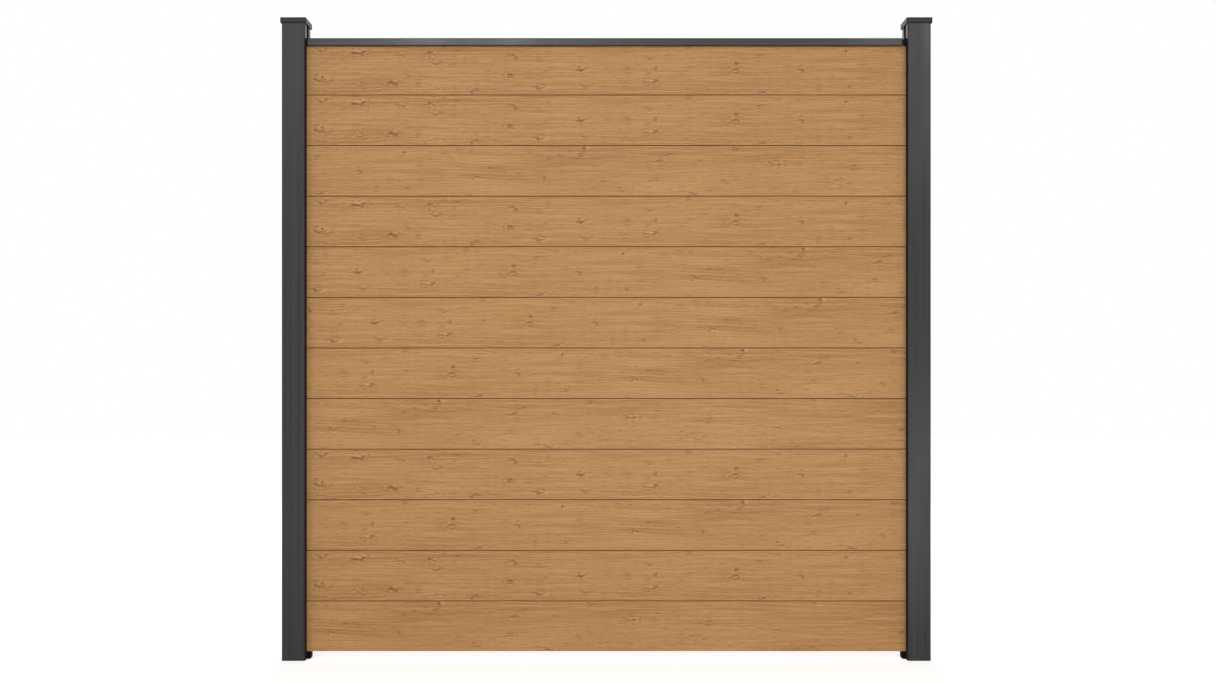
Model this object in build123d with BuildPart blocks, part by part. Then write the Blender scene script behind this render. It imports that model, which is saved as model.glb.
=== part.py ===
from build123d import *
import os

# Frame: X along the fence, Y from front to back, Z up, origin on the ground in the middle.
# All sizes in millimetres.

# Driving dimensions
CLEAR_WIDTH = 1775.0  # between the posts' inner faces
POST_SIDE = 68.0
POST_LENGTH = 1890.0
SLOT_WIDTH = 22.0
SLOT_DEPTH = 17.0
BOARD_COUNT = 12
BOARD_PITCH = 150.0
JOINT_GAP = 2.0  # open joint between two boards' faces
BOARD_THICKNESS = 20.0
BOARD_LENGTH = 1800.0
BOARD_BOTTOM = 23.0  # underside of the lowest board above the ground
RAIL_DEPTH = 44.0
RAIL_HEIGHT = 21.0
RAIL_LENGTH = 1758.0
RAIL_SHIFT = -4.0  # the rail is pushed towards the left post
RAIL_LAP = 5.0  # how far the rail reaches down over the top board
CAP_SIDE = 76.0
CAP_HEIGHT = 15.5
CAP_PLATE = 4.0

# Post section
POST_WALL = 2.0
POST_CORNER = 2.0
POST_INNER_CORNER = 0.8
CHANNEL_WALL = 1.8
SLOT_EDGE = 0.6  # rounding of the slot's edges

# Cover strip for the unused outer slot
COVER_GAP = 0.2
COVER_PLATE = 1.6
COVER_LEG = 1.4
COVER_LEG_LENGTH = 11.0
COVER_BARB = 0.8
COVER_BARB_LENGTH = 2.5

# Board section
BOARD_WALL = 1.8
BOARD_WEB = 1.4
BOARD_EDGE = 1.0  # rounding of the four long edges
TONGUE_WIDTH = 8.0
TONGUE_WALL = 1.6
TONGUE_CHAMFER = 1.2
GROOVE_WIDTH = 9.0
GROOVE_DEPTH = 7.0
CHAMBER_COUNT = 6

# Rail section
RAIL_WALL = 2.0
RAIL_LEG = 1.6
RAIL_LIP = 4.5
RAIL_GRIP_GAP = 0.4  # between the grip legs and the board
RAIL_EDGE = 0.8

# Plastic piece between each end of the rail and its post
END_FLANGE = 4.5
END_PRONG_LENGTH = 25.0
END_PRONG_GAP = 0.25
END_BOARD_GAP = 0.4
END_TAB_LENGTH = 14.0
END_TAB_WIDTH = 20.0
END_EDGE = 0.6

# Cap
CAP_GAP = 0.3
CAP_CORNER = 2.5
CAP_TOP_EDGE = 1.2
CAP_BOTTOM_EDGE = 0.6
LUG_GAP = 0.4
LUG_WALL = 2.0
LUG_LENGTH = 22.0
LUG_LEAD_IN = 1.2

# Support block under the bottom board
SUPPORT_WIDTH = 20.0
SUPPORT_OVERHANG = 12.5  # how far it stands out of the slot
SUPPORT_SLOT_GAP = 0.5
SUPPORT_CORNER = 6.0
SUPPORT_EDGE = 0.8

# Worked out from the driving dimensions
POST_CENTRE = CLEAR_WIDTH / 2 + POST_SIDE / 2
BOARD_FACE = BOARD_PITCH - JOINT_GAP  # height of a board's face
TONGUE_HEIGHT = GROOVE_DEPTH + JOINT_GAP  # the groove above rests on the tongue's top
SHOULDER_TOP = BOARD_BOTTOM + (BOARD_COUNT - 1) * BOARD_PITCH + BOARD_FACE
RAIL_BOTTOM = SHOULDER_TOP - RAIL_LAP
RAIL_TOP = RAIL_BOTTOM + RAIL_HEIGHT
TONGUE_TOP = SHOULDER_TOP + TONGUE_HEIGHT
RAIL_START = RAIL_SHIFT - RAIL_LENGTH / 2
GRIP_INNER = BOARD_THICKNESS / 2 + RAIL_GRIP_GAP
CHANNEL_DEPTH = SLOT_DEPTH + CHANNEL_WALL  # slot and its floor
CHAMBER_WIDTH = POST_SIDE - 2 * CHANNEL_DEPTH  # the post's middle chamber, along X
CHAMBER_LENGTH = POST_SIDE - 2 * POST_WALL  # the same chamber, along Y

SIDES = (("left", -1), ("right", 1))

os.makedirs("parts", exist_ok=True)

# Posts: one extrusion each, with a slot on the inner and on the outer side
for side, sign in SIDES:
    with BuildPart() as post:
        with BuildSketch(Plane(origin=(sign * POST_CENTRE, 0, 0))) as post_section:
            RectangleRounded(POST_SIDE, POST_SIDE, POST_CORNER)
            RectangleRounded(CHAMBER_LENGTH, CHAMBER_LENGTH, POST_INNER_CORNER, mode=Mode.SUBTRACT)
            for face in (-1, 1):
                with Locations((face * (POST_SIDE - CHANNEL_DEPTH) / 2, 0)):
                    Rectangle(CHANNEL_DEPTH, SLOT_WIDTH + 2 * CHANNEL_WALL)
                with Locations((face * (CHAMBER_WIDTH + CHANNEL_WALL) / 2, 0)):
                    Rectangle(CHANNEL_WALL, POST_SIDE - POST_WALL)
                with Locations((face * (POST_SIDE - SLOT_DEPTH) / 2, 0)):
                    Rectangle(SLOT_DEPTH, SLOT_WIDTH, mode=Mode.SUBTRACT)
            faces_x = post_section.vertices().group_by(Axis.X)
            mouths = faces_x[0] + faces_x[-1]
            mouths = [v for v in mouths if abs(abs(v.Y) - SLOT_WIDTH / 2) < 0.01]
            fillet(mouths, SLOT_EDGE)
        extrude(amount=POST_LENGTH)
    post.part.label = f"post_{side}"
    export_step(post.part, f"parts/post_{side}.step")

# Cover strips, clipped into the posts' outer slots, flush with the posts' faces
for side, sign in SIDES:
    cover_plane = Plane(
        origin=(sign * (POST_CENTRE + POST_SIDE / 2), 0, 0), x_dir=(-sign, 0, 0), z_dir=(0, 0, 1)
    )
    plate_width = SLOT_WIDTH - 2 * COVER_GAP
    leg_outer = plate_width / 2 - COVER_BARB + COVER_GAP
    with BuildPart() as cover:
        with BuildSketch(cover_plane):
            with Locations((COVER_PLATE / 2, 0)):
                Rectangle(COVER_PLATE, plate_width)
            for flank in (-1, 1):
                with BuildLine():
                    Polyline(
                        (COVER_PLATE, flank * leg_outer),
                        (COVER_LEG_LENGTH - COVER_BARB_LENGTH, flank * leg_outer),
                        (COVER_LEG_LENGTH - COVER_BARB_LENGTH, flank * (leg_outer + COVER_BARB)),
                        (COVER_LEG_LENGTH, flank * leg_outer),
                        (COVER_LEG_LENGTH, flank * (leg_outer - COVER_LEG)),
                        (COVER_PLATE, flank * (leg_outer - COVER_LEG)),
                        close=True,
                    )
                make_face()
        extrude(amount=POST_LENGTH)
    cover.part.label = f"slot_cover_{side}"
    export_step(cover.part, f"parts/slot_cover_{side}.step")

# Caps: a flat plate with a skirt around the post's top and a ring lug in its middle chamber
for side, sign in SIDES:
    cap_bottom = POST_LENGTH + CAP_PLATE - CAP_HEIGHT
    cap_x = sign * POST_CENTRE
    lug_x = CHAMBER_WIDTH - 2 * LUG_GAP
    lug_y = CHAMBER_LENGTH - 2 * LUG_GAP
    with BuildPart() as cap:
        with BuildSketch(Plane(origin=(cap_x, 0, cap_bottom))):
            RectangleRounded(CAP_SIDE, CAP_SIDE, CAP_CORNER)
        extrude(amount=CAP_HEIGHT)
        fillet(cap.edges().group_by(Axis.Z)[-1], CAP_TOP_EDGE)
        fillet(cap.edges().group_by(Axis.Z)[0], CAP_BOTTOM_EDGE)
        with BuildSketch(Plane(origin=(cap_x, 0, cap_bottom))):
            Rectangle(POST_SIDE + 2 * CAP_GAP, POST_SIDE + 2 * CAP_GAP)
        extrude(amount=CAP_HEIGHT - CAP_PLATE, mode=Mode.SUBTRACT)
        with BuildSketch(Plane(origin=(cap_x, 0, POST_LENGTH))):
            Rectangle(lug_x, lug_y)
        extrude(amount=-LUG_LENGTH)
        chamfer(cap.edges().group_by(Axis.Z)[0], LUG_LEAD_IN)
        with BuildSketch(Plane(origin=(cap_x, 0, POST_LENGTH))):
            Rectangle(lug_x - 2 * LUG_WALL, lug_y - 2 * LUG_WALL)
        extrude(amount=-LUG_LENGTH, mode=Mode.SUBTRACT)
    cap.part.label = f"post_cap_{side}"
    export_step(cap.part, f"parts/post_cap_{side}.step")

# Boards: hollow extrusions, tongue up and groove down, each resting on the tongue below
chambers_bottom = GROOVE_DEPTH + BOARD_WEB
chambers_height = BOARD_FACE - BOARD_WALL - chambers_bottom
chamber_pitch = (chambers_height + BOARD_WEB) / CHAMBER_COUNT

for number in range(1, BOARD_COUNT + 1):
    board_plane = Plane(
        origin=(-BOARD_LENGTH / 2, 0, BOARD_BOTTOM + (number - 1) * BOARD_PITCH),
        x_dir=(0, 1, 0),
        z_dir=(1, 0, 0),
    )
    with BuildPart() as board:
        with BuildSketch(board_plane) as board_section:
            with Locations((0, BOARD_FACE / 2)):
                RectangleRounded(BOARD_THICKNESS, BOARD_FACE, BOARD_EDGE)
            with Locations((0, BOARD_FACE + TONGUE_HEIGHT / 2)):
                Rectangle(TONGUE_WIDTH, TONGUE_HEIGHT)
            chamfer(board_section.vertices().group_by(Axis.Y)[-1], TONGUE_CHAMFER)
            with Locations((0, GROOVE_DEPTH / 2)):
                Rectangle(GROOVE_WIDTH, GROOVE_DEPTH, mode=Mode.SUBTRACT)
            for chamber in range(CHAMBER_COUNT):
                chamber_middle = chambers_bottom + chamber_pitch * (chamber + 0.5) - BOARD_WEB / 2
                with Locations((0, chamber_middle)):
                    Rectangle(
                        BOARD_THICKNESS - 2 * BOARD_WALL,
                        chamber_pitch - BOARD_WEB,
                        mode=Mode.SUBTRACT,
                    )
            with Locations((0, BOARD_FACE + (TONGUE_HEIGHT - TONGUE_WALL) / 2)):
                Rectangle(
                    TONGUE_WIDTH - 2 * TONGUE_WALL,
                    TONGUE_HEIGHT - TONGUE_WALL,
                    mode=Mode.SUBTRACT,
                )
        extrude(amount=BOARD_LENGTH)
    board.part.label = f"board_{number:02d}"
    export_step(board.part, f"parts/board_{number:02d}.step")

# Top rail: outer skirts with lips, two grip legs, and a web that rests on the top tongue
with BuildPart() as rail:
    rail_plane = Plane(origin=(RAIL_START, 0, 0), x_dir=(0, 1, 0), z_dir=(1, 0, 0))
    outer = RAIL_DEPTH / 2
    with BuildSketch(rail_plane) as rail_section:
        with Locations((0, RAIL_TOP - RAIL_WALL / 2)):
            Rectangle(RAIL_DEPTH, RAIL_WALL)
        with Locations((0, TONGUE_TOP + RAIL_LEG / 2)):
            Rectangle(2 * GRIP_INNER, RAIL_LEG)
        for flank in (-1, 1):
            with Locations((flank * (outer - RAIL_WALL / 2), RAIL_BOTTOM + RAIL_HEIGHT / 2)):
                Rectangle(RAIL_WALL, RAIL_HEIGHT)
            with Locations((flank * (outer - RAIL_LIP / 2), RAIL_BOTTOM + RAIL_LEG / 2)):
                Rectangle(RAIL_LIP, RAIL_LEG)
            with Locations((flank * (GRIP_INNER + RAIL_LEG / 2), RAIL_BOTTOM + RAIL_HEIGHT / 2)):
                Rectangle(RAIL_LEG, RAIL_HEIGHT)
        flanks = rail_section.vertices().group_by(Axis.X)
        fillet(flanks[0] + flanks[-1], RAIL_EDGE)
    extrude(amount=RAIL_LENGTH)
rail.part.label = "top_rail"
export_step(rail.part, "parts/top_rail.step")

# Rail ends: a flange against the post, two prongs in the rail, and a tab in the post's slot
prong_inner = GRIP_INNER + RAIL_LEG + END_PRONG_GAP
prong_outer = RAIL_DEPTH / 2 - RAIL_WALL - END_PRONG_GAP
prong_bottom = RAIL_BOTTOM + RAIL_LEG + END_PRONG_GAP
prong_top = RAIL_TOP - RAIL_WALL - END_PRONG_GAP
board_room = SHOULDER_TOP + END_BOARD_GAP
tab_bottom = TONGUE_TOP + END_BOARD_GAP

for side, sign in SIDES:
    end_plane = Plane(origin=(sign * CLEAR_WIDTH / 2, 0, 0), x_dir=(0, 1, 0), z_dir=(1, 0, 0))
    with BuildPart() as rail_end:
        with BuildSketch(end_plane):
            with Locations((0, RAIL_BOTTOM + RAIL_HEIGHT / 2)):
                RectangleRounded(RAIL_DEPTH, RAIL_HEIGHT, END_EDGE)
            with Locations((0, (RAIL_BOTTOM + board_room) / 2)):
                Rectangle(2 * GRIP_INNER, board_room - RAIL_BOTTOM, mode=Mode.SUBTRACT)
            with Locations((0, (RAIL_BOTTOM + tab_bottom) / 2)):
                tongue_room = TONGUE_WIDTH + 2 * END_BOARD_GAP
                Rectangle(tongue_room, tab_bottom - RAIL_BOTTOM, mode=Mode.SUBTRACT)
        extrude(amount=-sign * END_FLANGE)
        with BuildSketch(end_plane.offset(-sign * END_FLANGE)):
            for flank in (-1, 1):
                prong_y = flank * (prong_inner + prong_outer) / 2
                with Locations((prong_y, (prong_bottom + prong_top) / 2)):
                    Rectangle(prong_outer - prong_inner, prong_top - prong_bottom)
        extrude(amount=-sign * END_PRONG_LENGTH)
        with BuildSketch(end_plane):
            with Locations((0, (tab_bottom + RAIL_TOP) / 2)):
                Rectangle(END_TAB_WIDTH, RAIL_TOP - tab_bottom)
        extrude(amount=sign * END_TAB_LENGTH)
    rail_end.part.label = f"rail_end_{side}"
    export_step(rail_end.part, f"parts/rail_end_{side}.step")

# Support blocks: they stand on the ground in the slots and carry the bottom board's ends
for side, sign in SIDES:
    slot_floor = CLEAR_WIDTH / 2 + SLOT_DEPTH - SUPPORT_SLOT_GAP
    block_inner = CLEAR_WIDTH / 2 - SUPPORT_OVERHANG
    with BuildPart() as support:
        with BuildSketch(Plane.XZ.offset(-SUPPORT_WIDTH / 2)) as support_outline:
            with Locations((sign * (slot_floor + block_inner) / 2, BOARD_BOTTOM / 2)):
                Rectangle(slot_floor - block_inner, BOARD_BOTTOM)
            toe = support_outline.vertices().group_by(Axis.Y)[0].sort_by(Axis.X)
            fillet(toe[-1] if sign < 0 else toe[0], SUPPORT_CORNER)
        extrude(amount=SUPPORT_WIDTH)
        standing = support.edges().filter_by(Axis.Z)
        chamfer(standing.group_by(Axis.X)[-1 if sign < 0 else 0], SUPPORT_EDGE)
    support.part.label = f"board_support_{side}"
    export_step(support.part, f"parts/board_support_{side}.step")
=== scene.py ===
from collections import namedtuple
import math

import bpy
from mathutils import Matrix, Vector


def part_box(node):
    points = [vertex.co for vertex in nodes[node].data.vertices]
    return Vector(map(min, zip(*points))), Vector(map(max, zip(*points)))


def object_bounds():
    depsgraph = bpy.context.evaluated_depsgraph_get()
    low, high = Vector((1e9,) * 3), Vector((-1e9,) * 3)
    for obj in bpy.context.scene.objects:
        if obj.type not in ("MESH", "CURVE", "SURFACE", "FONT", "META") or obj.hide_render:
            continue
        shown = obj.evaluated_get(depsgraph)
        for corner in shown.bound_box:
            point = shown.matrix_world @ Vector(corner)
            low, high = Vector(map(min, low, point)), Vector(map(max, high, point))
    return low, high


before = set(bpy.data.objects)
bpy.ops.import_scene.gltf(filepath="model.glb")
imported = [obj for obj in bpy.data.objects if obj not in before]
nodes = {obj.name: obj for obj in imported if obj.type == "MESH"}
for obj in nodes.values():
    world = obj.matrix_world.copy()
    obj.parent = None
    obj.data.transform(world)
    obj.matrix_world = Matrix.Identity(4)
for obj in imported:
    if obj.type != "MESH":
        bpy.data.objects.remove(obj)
cad_low, cad_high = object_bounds()

# Metres throughout: X along the fence, Y from front to back, Z up.

# Camera, worked out from the photograph's perspective
IMAGE_WIDTH = 1216  # pixels
IMAGE_HEIGHT = 684  # pixels
HORIZON_ROW = 381  # pixels from the top
SENSOR_WIDTH = 36.0  # millimetres
LENS = 35.0  # millimetres
CAMERA_X = 0.005
CAMERA_DISTANCE = 3.48  # from the posts' front faces
CAMERA_HEIGHT = 0.824

# Light. A size is a width and a height, and every lamp points at the middle of the panel.
SKY_LEVEL = 0.39
LAMPS = {
    "overhead": dict(place=(-1.1, -4.2, 3.10), size=(4.6, 0.7), watts=23.0),
    "key": dict(place=(-0.85, -4.2, 3.05), size=(0.6, 0.5), watts=34.5),
    "side": dict(place=(-3.0, -3.2, 1.2), size=(1.0, 1.6), watts=12.0),
    "accent": dict(place=(2.2, -4.2, 3.0), size=(0.6, 0.6), watts=26.0),
    "low_fill": dict(place=(1.9, -4.0, 0.36), size=(0.9, 0.62), watts=8.5),
    "strip": dict(place=(0.25, -2.5, 0.15), size=(2.6, 0.2), watts=15.5),
    "back": dict(place=(0.0, 4.4, 2.0), size=(3.2, 1.4), watts=98.0),
}

# Floor. The glow makes the lit floor just white, so that the shadow on it still shows.
FLOOR_HALF = 14.0
FLOOR_ALBEDO = 0.82
FLOOR_ROUGHNESS = 0.9
GLOW_START = 1.2  # the glow rises from this distance from the panel's middle
GLOW_END = 4.5
GLOW_NEAR = 0.55
GLOW_FAR = 0.72

# Colours, linear
OAK_PALE = (0.505, 0.273, 0.102)
OAK_BASE = (0.424, 0.215, 0.072)
OAK_DEEP = (0.359, 0.172, 0.054)
OAK_STREAK = (0.152, 0.055, 0.009)
OAK_HEART = (0.590, 0.352, 0.160)
PVC_CORE = (0.036, 0.036, 0.037)
ANTHRACITE = (0.0200, 0.0200, 0.0205)
RAIL_GREY = (0.027, 0.027, 0.028)
CAP_GREY = (0.022, 0.022, 0.0225)
BLACK_PLASTIC = (0.004, 0.004, 0.004)
BLACK_RUBBER = (0.004, 0.004, 0.004)
# Painted shade for the slots and for their lips beside the boards
SLOT_PAINTED_SHADE = (0.003, 0.003, 0.003)

# A noise has its size along the grain and across it, and a layer of its own.
# A fade goes from bottom to top as its value goes from low to high.
Noise = namedtuple("Noise", "size layer detail roughness", defaults=(0.0, 2.0, 0.5))
Fade = namedtuple("Fade", "low high bottom top", defaults=(0.0, 1.0))

# Oak film: the board that it covers
FILM_SHIFTS = (2.05, 0.31, 1.15, 0.31, 2.05, 1.15, 0.92, 0.97, 0.31, 1.62, 0.31, 0.31)
BACK_SHIFT = 3.7  # the back shows another stretch of the print than the front
BOARD_COVER = 0.148
FILM_FACE = 0.0088  # the film covers the board this far from its middle plane
EDGE_BAND = 0.0030  # the film gets a painted highlight this close to a board's edges
EDGE_HIGHLIGHT = 0.35

# Oak film: the print
WAVES = Noise((0.42, 0.12))
RIPPLES = Noise((0.12, 0.045), 1.0)
WAVE_HEIGHT = 0.022
RIPPLE_HEIGHT = 0.012
BANDS = Noise((1.10, 0.110))
BANDS_SHOW = Fade(0.36, 0.60)
LINES = Noise((0.28, 0.0040), 2.0, 3.0, 0.6)
LINES_SHOW = Fade(0.38, 0.68)
THREADS = Noise((0.032, 0.0018), 3.0)
THREADS_SHOW = Fade(0.46, 0.72, 0.0, 0.34)
PORES = Noise((0.014, 0.0006), 8.0, 1.0)
PORES_SHOW = Fade(0.55, 0.75, 0.0, 0.22)
RAYS = Noise((0.004, 0.016), 4.0, 1.0)
RAYS_SHOW = Fade(0.55, 0.80, 0.0, 0.12)
STREAKS = Noise((0.030, 0.0040), 5.0, 2.0, 0.6)
STREAK_GROUPS = Noise((0.16, 0.050), 6.0, 1.0)
GROUPING = 0.40  # how strongly the streaks gather in their groups
STREAKS_SHOW = Fade(0.62, 0.76)
STREAK_STRENGTH = 0.65

# Oak film: the pin knots. A knot's own lengths are counted in its half sizes.
KNOT_CELL = (0.110, 0.050)  # one place for a knot in each cell of the print
KNOT_SCATTER = 0.95
KNOT_SHARE = 0.36  # of those places that hold one
KNOT_HALF = (0.0080, 0.0034)
KNOT_LEAST = 0.55  # the smallest knot, as a part of that size
UPRIGHT_SHARE = 0.45  # of the knots that are not turned over
KNOT_PATCH = Fade(0.8, 4.5, 1.0, 0.0)
KNOT_REACH = Fade(0.5, 4.5, 1.0, 0.0)
KNOT_PULL = -0.0022  # how far the grain parts around a knot
KNOT_RAGGED = Noise((0.009, 0.0040), 2.0, 2.0, 0.6)
WOBBLE = 3.0
BOW_BEND = -0.35
BOW_RISE = 0.6
BOW_WIDTH = Fade(0.1, 0.9, 1.0, 0.0)
BOW_LENGTH = Fade(0.4, 1.9, 1.0, 0.0)
HEART_WIDTH = Fade(0.2, 1.1, 1.0, 0.0)
RIM_STRENGTH = 0.78
HEART_STRENGTH = 0.55
FLECKS = Noise((0.016, 0.0052), 7.0, 2.0, 0.6)
DARK_FLECKS_SHOW = Fade(0.52, 0.63)
DARK_FLECK_STRENGTH = 0.85
PALE_FLECKS_SHOW = Fade(0.46, 0.32)
PALE_FLECK_STRENGTH = 0.60

# Oak film: embossing and gloss
LINE_RELIEF = 0.6
THREAD_RELIEF = -0.4
PORE_RELIEF = -0.3
EMBOSSING = 0.00015
EMBOSSING_STRENGTH = 0.7
FILM_ROUGHNESS = Fade(0.3, 0.7, 0.62, 0.50)
FILM_SPECULAR = 0.35

# Powder coat and moulded skins, with painted shade on edges and in slots
EDGE_WIDTH = 0.0035
EDGE_SHADE_TONE = 0.25  # the painted edge shade's colour, as a part of the face's
FINE_NOISE = (3.0, 0.6)  # detail and roughness
PEEL = 0.0011  # the coat's fine texture
PEEL_TONE = 1.6  # the lighter colour in the coat, as a multiple of the base colour
PEEL_SHOWS = Fade(0.35, 0.75, 0.0, 0.5)
PEEL_RELIEF = 0.00010
PEEL_STRENGTH = 0.8
DRAW_LINES = (0.0075, 0.0075, 0.9)  # faint lines left by the extrusion die, along a post
RAIL_DRAW_LINES = (0.9, 0.0040, 0.0040)
DRAW_LINES_SHOW = Fade(0.35, 0.65, 0.0, 0.85)
DRAW_LINES_GLOSS = Fade(0.25, 0.75, -0.05, 0.05)
DRAW_LINES_RELIEF = 0.00020
DRAW_LINES_STRENGTH = 0.35
CLOUDS = (0.12, 0.12, 0.30)  # slow change in the coat's gloss and in the painted edge shade
CLOUD_GLOSS = Fade(0.3, 0.7, -0.03, 0.03)
# How strongly the painted edge shade shows, changing slowly over the coat
EDGE_SHADE_SPREAD = Fade(0.2, 0.6, 0.55, 0.85)
EDGE_DULLNESS = 0.25
SLOT_DULLNESS = 2.2
SLOT_HALF_DEPTH = 0.0112  # a slot's half width, front to back
SLOT_SKIN = 0.0007  # margin for telling a post's outer skin from its slots
COAT_SPECULAR = 0.25
POST_ROUGHNESS = 0.34
RAIL_ROUGHNESS = 0.30

SMEAR = 0.045  # size of the duller patches on a moulding
SMEAR_GLOSS = Fade(0.3, 0.7, -0.03, 0.03)
SKIN_NOISE = (3.0, 0.65)  # detail and roughness
SKIN_TONE = 1.7
SKIN_SHOWS = Fade(0.35, 0.75, 0.0, 0.6)
SKIN_RELIEF = 0.00008
SKIN_STRENGTH = 0.8
MOULD_EDGE_SHADE = 0.8
CAP_RIM = 0.0155  # height of a cap above its lug
CAP_GRAIN = 0.0009
CAP_ROUGHNESS = 0.50
CAP_SPECULAR = 0.22
BLACK_GRAIN = 0.0012
BLACK_SPECULAR = 0.06
RAIL_END_ROUGHNESS = 0.50
SUPPORT_ROUGHNESS = 0.70


class Graph:
    """A node tree with short calls for the nodes that the materials use."""

    def __init__(self, tree):
        self.tree = tree

    def new(self, kind, **settings):
        node = self.tree.nodes.new(kind)
        for name, value in settings.items():
            setattr(node, name, value)
        return node

    def put(self, socket, value):
        if isinstance(value, bpy.types.NodeSocket):
            self.tree.links.new(value, socket)
        elif value is not None:
            if hasattr(socket.default_value, "__len__") and len(value) < len(socket.default_value):
                value = (*value, 1.0)
            socket.default_value = value

    def math(self, operation, a, b=None, c=None):
        node = self.new("ShaderNodeMath", operation=operation)
        for socket, value in zip(node.inputs, (a, b, c)):
            self.put(socket, value)
        return node.outputs[0]

    def add(self, a, b):
        return self.math("ADD", a, b)

    def times(self, a, b):
        return self.math("MULTIPLY", a, b)

    def most(self, a, b):
        return self.math("MAXIMUM", a, b)

    def size_of(self, value):
        return self.math("ABSOLUTE", value)

    def length(self, a, b):
        return self.math("SQRT", self.add(self.times(a, a), self.times(b, b)))

    def blend(self, factor, a, b):
        node = self.new("ShaderNodeMix", data_type="RGBA")
        self.put(node.inputs[0], factor)
        self.put(node.inputs[6], a)
        self.put(node.inputs[7], b)
        return node.outputs[2]

    def combine(self, x, y, z):
        node = self.new("ShaderNodeCombineXYZ")
        for socket, value in zip(node.inputs, (x, y, z)):
            self.put(socket, value)
        return node.outputs[0]

    def separate(self, vector):
        node = self.new("ShaderNodeSeparateXYZ")
        self.put(node.inputs[0], vector)
        return node.outputs[0], node.outputs[1], node.outputs[2]

    def scaled(self, x, y, z, sizes):
        """A place measured in units of the given sizes, for a texture."""
        parts = [self.math("DIVIDE", value, size) for value, size in zip((x, y, z), sizes)]
        return self.combine(*parts)

    def noise(self, vector, detail=2.0, roughness=0.5):
        node = self.new("ShaderNodeTexNoise")
        self.put(node.inputs["Vector"], vector)
        self.put(node.inputs["Scale"], 1.0)
        self.put(node.inputs["Detail"], detail)
        self.put(node.inputs["Roughness"], roughness)
        return node.outputs["Fac"]

    def fade(self, value, fade):
        node = self.new("ShaderNodeMapRange", interpolation_type="SMOOTHSTEP")
        for socket, number in zip(node.inputs, (value, *fade)):
            self.put(socket, number)
        return node.outputs[0]

    def bump(self, height, distance, strength, normal=None):
        node = self.new("ShaderNodeBump")
        self.put(node.inputs["Strength"], strength)
        self.put(node.inputs["Distance"], distance)
        self.put(node.inputs["Height"], height)
        self.put(node.inputs["Normal"], normal)
        return node.outputs[0]


def new_material(name):
    material = bpy.data.materials.new(name)
    material.use_nodes = True
    graph = Graph(material.node_tree)
    shader = material.node_tree.nodes["Principled BSDF"]
    return material, graph, shader


def position(graph):
    return graph.separate(graph.new("ShaderNodeTexCoord").outputs["Object"])


def give(node_name, material):
    """Puts one material on every slot of a CAD node."""
    slots = nodes[node_name].data.materials
    if len(slots) == 0:
        slots.append(material)
    for index in range(len(slots)):
        slots[index] = material


def film_noise(graph, along, up, noise):
    width, height = noise.size
    place = graph.combine(
        graph.math("DIVIDE", along, width), noise.layer, graph.math("DIVIDE", up, height)
    )
    return graph.noise(place, noise.detail, noise.roughness)


def knots(graph, along, up):
    """Pin knots: the patch each one disturbs, its dark rim, its pale heart, its pull on the grain."""
    cell_width, cell_height = KNOT_CELL
    cells = graph.combine(
        graph.math("DIVIDE", along, cell_width), 0.0, graph.math("DIVIDE", up, cell_height)
    )
    voronoi = graph.new("ShaderNodeTexVoronoi")
    graph.put(voronoi.inputs["Vector"], cells)
    graph.put(voronoi.inputs["Scale"], 1.0)
    graph.put(voronoi.inputs["Randomness"], KNOT_SCATTER)
    offset = graph.new("ShaderNodeVectorMath", operation="SUBTRACT")
    graph.put(offset.inputs[0], cells)
    graph.put(offset.inputs[1], voronoi.outputs["Position"])
    side, _, rise = graph.separate(offset.outputs[0])
    chance, size, turn = graph.separate(voronoi.outputs["Color"])
    present = graph.math("LESS_THAN", chance, KNOT_SHARE)
    grow = graph.add(graph.times(size, size), KNOT_LEAST)

    # Place beside the knot, counted in its own half sizes
    px = graph.math("DIVIDE", graph.times(side, cell_width / KNOT_HALF[0]), grow)
    pz = graph.math("DIVIDE", graph.times(rise, cell_height / KNOT_HALF[1]), grow)
    turned = graph.math("GREATER_THAN", turn, UPRIGHT_SHARE)
    pz = graph.times(pz, graph.math("MULTIPLY_ADD", turned, 2.0, -1.0))
    far = graph.length(px, pz)
    patch = graph.times(graph.fade(far, KNOT_PATCH), present)
    pull = graph.times(pz, graph.times(graph.fade(far, KNOT_REACH), present))

    # The rim is a shallow bow with its ends turned up, ragged so that no two are alike
    ragged = film_noise(graph, along, up, KNOT_RAGGED)
    wobble = graph.math("MULTIPLY_ADD", ragged, WOBBLE, -WOBBLE / 2)
    bow = graph.math("MULTIPLY_ADD", graph.times(px, px), BOW_BEND, graph.add(pz, BOW_RISE))
    bow = graph.size_of(graph.add(bow, wobble))
    reach = graph.fade(graph.size_of(graph.add(px, wobble)), BOW_LENGTH)
    rim = graph.times(graph.times(graph.fade(bow, BOW_WIDTH), reach), present)
    heart = graph.times(graph.fade(graph.add(far, wobble), HEART_WIDTH), present)
    return patch, rim, heart, pull


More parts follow.
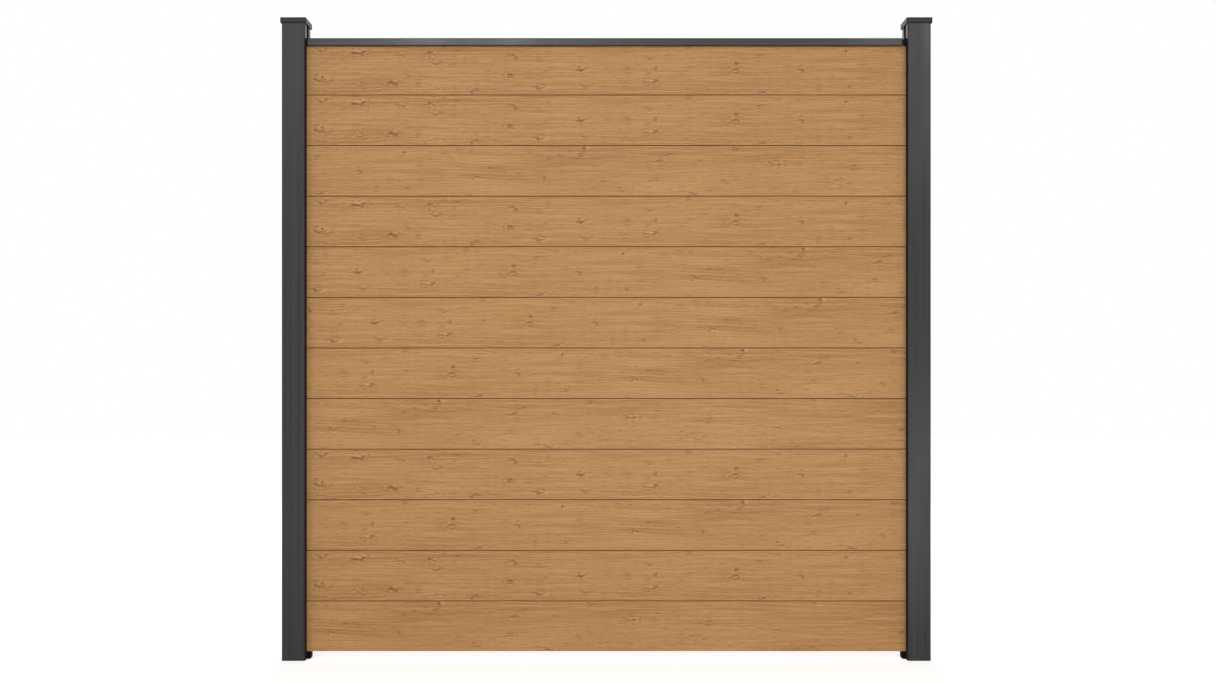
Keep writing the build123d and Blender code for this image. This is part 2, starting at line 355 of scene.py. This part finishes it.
def oak_film(name, board_bottom, shift):
    """Oak film, printed and lightly embossed: a board's own stretch of one long print."""
    material, graph, shader = new_material(name)
    x, y, z = position(graph)
    back = graph.math("GREATER_THAN", y, 0.0)
    along = graph.add(x, graph.math("MULTIPLY_ADD", back, BACK_SHIFT, shift))
    up = graph.math("SUBTRACT", z, board_bottom)
    patch, rim, heart, pull = knots(graph, along, up)

    # Grain lines wander slowly and part around the knots
    wave = film_noise(graph, along, up, WAVES)
    ripple = film_noise(graph, along, up, RIPPLES)
    level = graph.math("MULTIPLY_ADD", wave, WAVE_HEIGHT, up)
    level = graph.math("MULTIPLY_ADD", ripple, RIPPLE_HEIGHT, level)
    level = graph.math("MULTIPLY_ADD", pull, KNOT_PULL, level)

    bands = film_noise(graph, along, level, BANDS)
    lines = film_noise(graph, along, level, LINES)
    threads = film_noise(graph, along, level, THREADS)
    pores = film_noise(graph, along, level, PORES)
    rays = film_noise(graph, along, up, RAYS)

    # Short dark streaks, in loose groups
    streaks = film_noise(graph, along, level, STREAKS)
    groups = film_noise(graph, along, up, STREAK_GROUPS)
    grouped = graph.math("MULTIPLY_ADD", groups, GROUPING, -GROUPING / 2)
    dashes = graph.fade(graph.add(streaks, grouped), STREAKS_SHOW)

    # Dark and pale flecks around the knots
    flecks = film_noise(graph, along, level, FLECKS)
    dark_flecks = graph.times(graph.fade(flecks, DARK_FLECKS_SHOW), patch)
    pale_flecks = graph.times(graph.fade(flecks, PALE_FLECKS_SHOW), patch)

    colour = graph.blend(graph.fade(bands, BANDS_SHOW), OAK_DEEP, OAK_BASE)
    colour = graph.blend(graph.fade(lines, LINES_SHOW), colour, OAK_PALE)
    colour = graph.blend(graph.fade(threads, THREADS_SHOW), colour, OAK_STREAK)
    colour = graph.blend(graph.fade(pores, PORES_SHOW), colour, OAK_STREAK)
    colour = graph.blend(graph.fade(rays, RAYS_SHOW), colour, OAK_PALE)
    colour = graph.blend(graph.times(heart, HEART_STRENGTH), colour, OAK_HEART)
    colour = graph.blend(graph.times(pale_flecks, PALE_FLECK_STRENGTH), colour, OAK_HEART)
    marks = graph.times(dashes, STREAK_STRENGTH)
    marks = graph.most(marks, graph.times(dark_flecks, DARK_FLECK_STRENGTH))
    marks = graph.most(marks, graph.times(rim, RIM_STRENGTH))
    colour = graph.blend(marks, colour, OAK_STREAK)

    # Painted highlight: the film is made paler along the edges, and the core shows past it
    half = BOARD_COVER / 2
    edge = graph.size_of(graph.math("SUBTRACT", up, half))
    painted_edge_highlight = graph.fade(edge, Fade(half - EDGE_BAND, half, 0.0, EDGE_HIGHLIGHT))
    colour = graph.blend(painted_edge_highlight, colour, OAK_PALE)
    core = graph.math("LESS_THAN", graph.size_of(y), FILM_FACE)
    graph.put(shader.inputs["Base Color"], graph.blend(core, colour, PVC_CORE))

    relief = graph.times(threads, THREAD_RELIEF)
    relief = graph.math("MULTIPLY_ADD", lines, LINE_RELIEF, relief)
    relief = graph.math("MULTIPLY_ADD", pores, PORE_RELIEF, relief)
    relief = graph.math("SUBTRACT", relief, marks)
    graph.put(shader.inputs["Normal"], graph.bump(relief, EMBOSSING, EMBOSSING_STRENGTH))
    graph.put(shader.inputs["Roughness"], graph.fade(lines, FILM_ROUGHNESS))
    shader.inputs["Specular IOR Level"].default_value = FILM_SPECULAR
    return material


def edge_mask(graph, place, box):
    """1 on the outer edges of a box, and 0 from the edge width inwards."""
    near = []
    for axis, value in enumerate(place):
        middle = (box[0][axis] + box[1][axis]) / 2
        half = (box[1][axis] - box[0][axis]) / 2
        reach = graph.size_of(graph.math("SUBTRACT", value, middle))
        near.append(graph.fade(reach, Fade(half - EDGE_WIDTH, half - EDGE_WIDTH / 3)))
    pairs = [graph.times(near[axis], near[axis - 1]) for axis in range(3)]
    return graph.most(graph.most(pairs[0], pairs[1]), pairs[2])


def painted_slot_shade(graph, x, y, z):
    """1 inside the slots and on their lips beside the boards, where painted shade makes the coat near
    black and duller.
    """
    post_low, post_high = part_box("post_right")
    rail_low, rail_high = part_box("top_rail")
    reach = graph.size_of(x)
    inside = graph.math("LESS_THAN", graph.size_of(y), SLOT_HALF_DEPTH)
    inside = graph.times(inside, graph.math("LESS_THAN", reach, post_high.x - SLOT_SKIN))
    lip = graph.math("LESS_THAN", reach, post_low.x + SLOT_SKIN)
    lip = graph.times(lip, graph.fade(z, Fade(rail_low.z, rail_high.z, 1.0, 0.0)))
    return graph.most(inside, lip)


def shades(colour, lighter):
    """A colour's lighter speckle and its painted edge shade."""
    bright = tuple(lighter * value for value in colour)
    dark = tuple(EDGE_SHADE_TONE * value for value in colour)
    return bright, dark


def powder_coat(name, box, colour, roughness, draw_lines, shade_slots=False):
    """Powder-coated extrusion: fine texture, faint draw lines, painted shade and a duller coat on
    edges, and painted shade in the slots when asked.
    """
    material, graph, shader = new_material(name)
    place = position(graph)
    peel = graph.noise(graph.scaled(*place, (PEEL,) * 3), *FINE_NOISE)
    drawn = graph.noise(graph.scaled(*place, draw_lines), *FINE_NOISE)
    cloud = graph.noise(graph.scaled(*place, CLOUDS))
    painted_edge_shade = graph.times(edge_mask(graph, place, box), graph.fade(cloud, EDGE_SHADE_SPREAD))
    bright, dark = shades(colour, PEEL_TONE)
    tone = graph.blend(graph.fade(peel, PEEL_SHOWS), colour, bright)
    tone = graph.blend(graph.fade(drawn, DRAW_LINES_SHOW), tone, bright)
    # Painted shade darkens the edges, and the same mask makes them duller below
    tone = graph.blend(painted_edge_shade, tone, dark)
    if shade_slots:
        # Painted shade: the slots and their lips beside the boards are made near black and duller
        slot_painted_mask = painted_slot_shade(graph, *place)
        painted_edge_shade = graph.most(painted_edge_shade, graph.times(slot_painted_mask, SLOT_DULLNESS))
        tone = graph.blend(slot_painted_mask, tone, SLOT_PAINTED_SHADE)
    graph.put(shader.inputs["Base Color"], tone)
    dull = graph.add(graph.fade(drawn, DRAW_LINES_GLOSS), graph.fade(cloud, CLOUD_GLOSS))
    dull = graph.math("MULTIPLY_ADD", painted_edge_shade, EDGE_DULLNESS, dull)
    graph.put(shader.inputs["Roughness"], graph.add(dull, roughness))
    skin = graph.bump(peel, PEEL_RELIEF, PEEL_STRENGTH)
    skin = graph.bump(drawn, DRAW_LINES_RELIEF, DRAW_LINES_STRENGTH, skin)
    graph.put(shader.inputs["Normal"], skin)
    shader.inputs["Specular IOR Level"].default_value = COAT_SPECULAR
    return material


def moulding(name, box, colour, roughness, grain, specular):
    """Moulded plastic or rubber with an eroded skin, and painted shade along its edges."""
    material, graph, shader = new_material(name)
    place = position(graph)
    skin = graph.noise(graph.scaled(*place, (grain,) * 3), *SKIN_NOISE)
    smear = graph.noise(graph.scaled(*place, (SMEAR,) * 3), *FINE_NOISE)
    # Painted shade darkens the edges
    painted_edge_shade = graph.times(edge_mask(graph, place, box), MOULD_EDGE_SHADE)
    bright, dark = shades(colour, SKIN_TONE)
    tone = graph.blend(graph.fade(skin, SKIN_SHOWS), colour, bright)
    graph.put(shader.inputs["Base Color"], graph.blend(painted_edge_shade, tone, dark))
    graph.put(shader.inputs["Roughness"], graph.add(graph.fade(smear, SMEAR_GLOSS), roughness))
    graph.put(shader.inputs["Normal"], graph.bump(skin, SKIN_RELIEF, SKIN_STRENGTH))
    shader.inputs["Specular IOR Level"].default_value = specular
    return material


def dress_boards():
    for number, shift in enumerate(FILM_SHIFTS, start=1):
        board = f"board_{number:02d}"
        give(board, oak_film(f"oak_film_{number:02d}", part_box(board)[0].z, shift))


def dress_rail():
    rail_low, rail_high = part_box("top_rail")
    below = Vector((0, 0, rail_high.z - rail_low.z))
    upper_edges = (rail_low - below, rail_high)  # the lower edges get no painted edge shade
    coat = powder_coat("rail_coat", upper_edges, RAIL_GREY, RAIL_ROUGHNESS, RAIL_DRAW_LINES)
    give("top_rail", coat)


def dress_post(side):
    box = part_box(f"post_{side}")
    coat = powder_coat(f"post_coat_{side}", box, ANTHRACITE, POST_ROUGHNESS, DRAW_LINES, True)
    give(f"post_{side}", coat)
    coat = powder_coat(f"cover_coat_{side}", box, ANTHRACITE, POST_ROUGHNESS, DRAW_LINES)
    give(f"slot_cover_{side}", coat)

    cap_low, cap_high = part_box(f"post_cap_{side}")
    # The cap's painted edge shade goes on the edges of its rim
    rim = (Vector((cap_low.x, cap_low.y, cap_high.z - CAP_RIM)), cap_high)
    skin = moulding(f"cap_skin_{side}", rim, CAP_GREY, CAP_ROUGHNESS, CAP_GRAIN, CAP_SPECULAR)
    give(f"post_cap_{side}", skin)

    for piece, colour, roughness in (
        (f"rail_end_{side}", BLACK_PLASTIC, RAIL_END_ROUGHNESS),
        (f"board_support_{side}", BLACK_RUBBER, SUPPORT_ROUGHNESS),
    ):
        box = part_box(piece)
        skin = moulding(f"skin_{piece}", box, colour, roughness, BLACK_GRAIN, BLACK_SPECULAR)
        give(piece, skin)


def seen_white(graph):
    """1 for what the camera sees, straight or through gloss and glass, else 0."""
    path = graph.new("ShaderNodeLightPath")
    seen = graph.most(path.outputs["Is Camera Ray"], path.outputs["Is Glossy Ray"])
    return graph.most(seen, path.outputs["Is Transmission Ray"])


def make_floor():
    half = FLOOR_HALF
    corners = [(-half, -half, 0), (half, -half, 0), (half, half, 0), (-half, half, 0)]
    mesh = bpy.data.meshes.new("floor")
    mesh.from_pydata(corners, [], [(0, 1, 2, 3)])
    floor = bpy.data.objects.new("floor", mesh)
    bpy.context.scene.collection.objects.link(floor)
    material, graph, shader = new_material("floor_white")
    graph.put(shader.inputs["Base Color"], (FLOOR_ALBEDO,) * 3)
    shader.inputs["Roughness"].default_value = FLOOR_ROUGHNESS
    shader.inputs["Specular IOR Level"].default_value = 0.0
    graph.put(shader.inputs["Emission Color"], (1.0, 1.0, 1.0))
    x, y, _ = position(graph)
    glow = graph.fade(graph.length(x, y), Fade(GLOW_START, GLOW_END, GLOW_NEAR, GLOW_FAR))
    graph.put(shader.inputs["Emission Strength"], graph.times(seen_white(graph), glow))
    mesh.materials.append(material)


def make_world():
    world = bpy.data.worlds.new("world")
    bpy.context.scene.world = world
    world.use_nodes = True
    graph = Graph(world.node_tree)
    sky = world.node_tree.nodes["Background"]
    graph.put(sky.inputs["Color"], (1.0, 1.0, 1.0))
    level = graph.math("MULTIPLY_ADD", seen_white(graph), 1.0 - SKY_LEVEL, SKY_LEVEL)
    graph.put(sky.inputs["Strength"], level)


def make_lamp(name, place, size, watts):
    data = bpy.data.lights.new(name, "AREA")
    data.shape = "RECTANGLE"
    data.size, data.size_y = size
    data.energy = watts
    lamp = bpy.data.objects.new(name, data)
    lamp.location = place
    aim = (cad_low + cad_high) / 2 - Vector(place)
    lamp.rotation_euler = aim.to_track_quat("-Z", "Y").to_euler()
    bpy.context.scene.collection.objects.link(lamp)


def make_camera():
    data = bpy.data.cameras.new("camera")
    data.sensor_width = SENSOR_WIDTH
    data.lens = LENS
    data.shift_y = (HORIZON_ROW - IMAGE_HEIGHT / 2) / IMAGE_WIDTH
    camera = bpy.data.objects.new("camera", data)
    camera.location = (CAMERA_X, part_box("post_left")[0].y - CAMERA_DISTANCE, CAMERA_HEIGHT)
    camera.rotation_euler = (math.radians(90), 0, 0)
    bpy.context.scene.collection.objects.link(camera)
    bpy.context.scene.camera = camera


dress_boards()
dress_rail()
for side in ("left", "right"):
    dress_post(side)
make_floor()
make_world()
for lamp_name, lamp in LAMPS.items():
    make_lamp(lamp_name, **lamp)
make_camera()
bpy.context.scene.view_settings.view_transform = "Standard"
